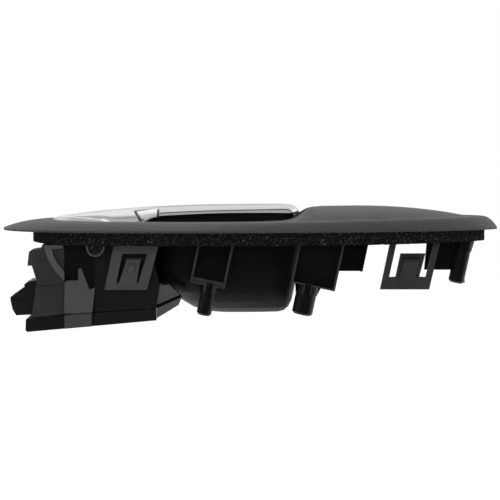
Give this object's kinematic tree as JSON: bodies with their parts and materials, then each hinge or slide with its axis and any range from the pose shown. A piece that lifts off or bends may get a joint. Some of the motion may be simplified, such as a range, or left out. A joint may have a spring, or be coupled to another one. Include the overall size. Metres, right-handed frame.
{
  "type": "car interior door handle",
  "caption": "Recessed car door handle: eye-shaped bezel with palm dome, bright sprung lever over a deep finger cup, moulded carrier with posts and snaps, release mechanism behind.",
  "frame": {"origin": "middle of the bezel's length on its middle line, at the level where the bezel's edge seats on the door trim", "axes": "+X along the bezel towards its pointed end, +Z out of the door trim into the cabin, +Y across the bezel"},
  "size_m": [0.25, 0.076, 0.0631],
  "materials": {
    "grained_plastic": "fine moulded grain, satin",
    "black_plastic": "plain moulded, satin",
    "foam": "open-cell foam, matt",
    "chrome": "bright plating",
    "steel": "bright zinc",
    "rubber": "matt",
    "magnet": "nickel plated",
    "circuit_board": "coated",
    "contact_brass": "tinned"
  },
  "bodies": {
    "root": {"bezel": "grained_plastic", "carrier": "black_plastic", "trim_fixings": "black_plastic", "foam_gasket": "foam", "chrome_surround": "chrome", "pivot_pin": "steel", "pin_clip": "steel", "return_spring": "steel", "rest_bumpers": "rubber", "travel_bumper": "rubber", "mechanism_housing": "black_plastic", "housing_cover": "black_plastic", "cover_screws": "steel", "housing_screws": "steel", "bezel_screws": "steel", "cable_retainer": "black_plastic", "sensor_board": "circuit_board", "connector_shell": "black_plastic", "connector_pins": "contact_brass"},
    "lever": {"lever_shell": "chrome", "lever_core": "black_plastic", "sensor_magnet": "magnet"}
  },
  "joints": [
    {"name": "lever_hinge", "type": "hinge", "parent": "root", "child": "lever", "pos_m": [-0.084, -0.004, 0.0006], "axis": [0, -1, 0], "range_deg": [0, 32], "stiffness_Nm_per_rad": 0.25, "springref_deg": -20.05, "deforming": ["return_spring"]}
  ]
}
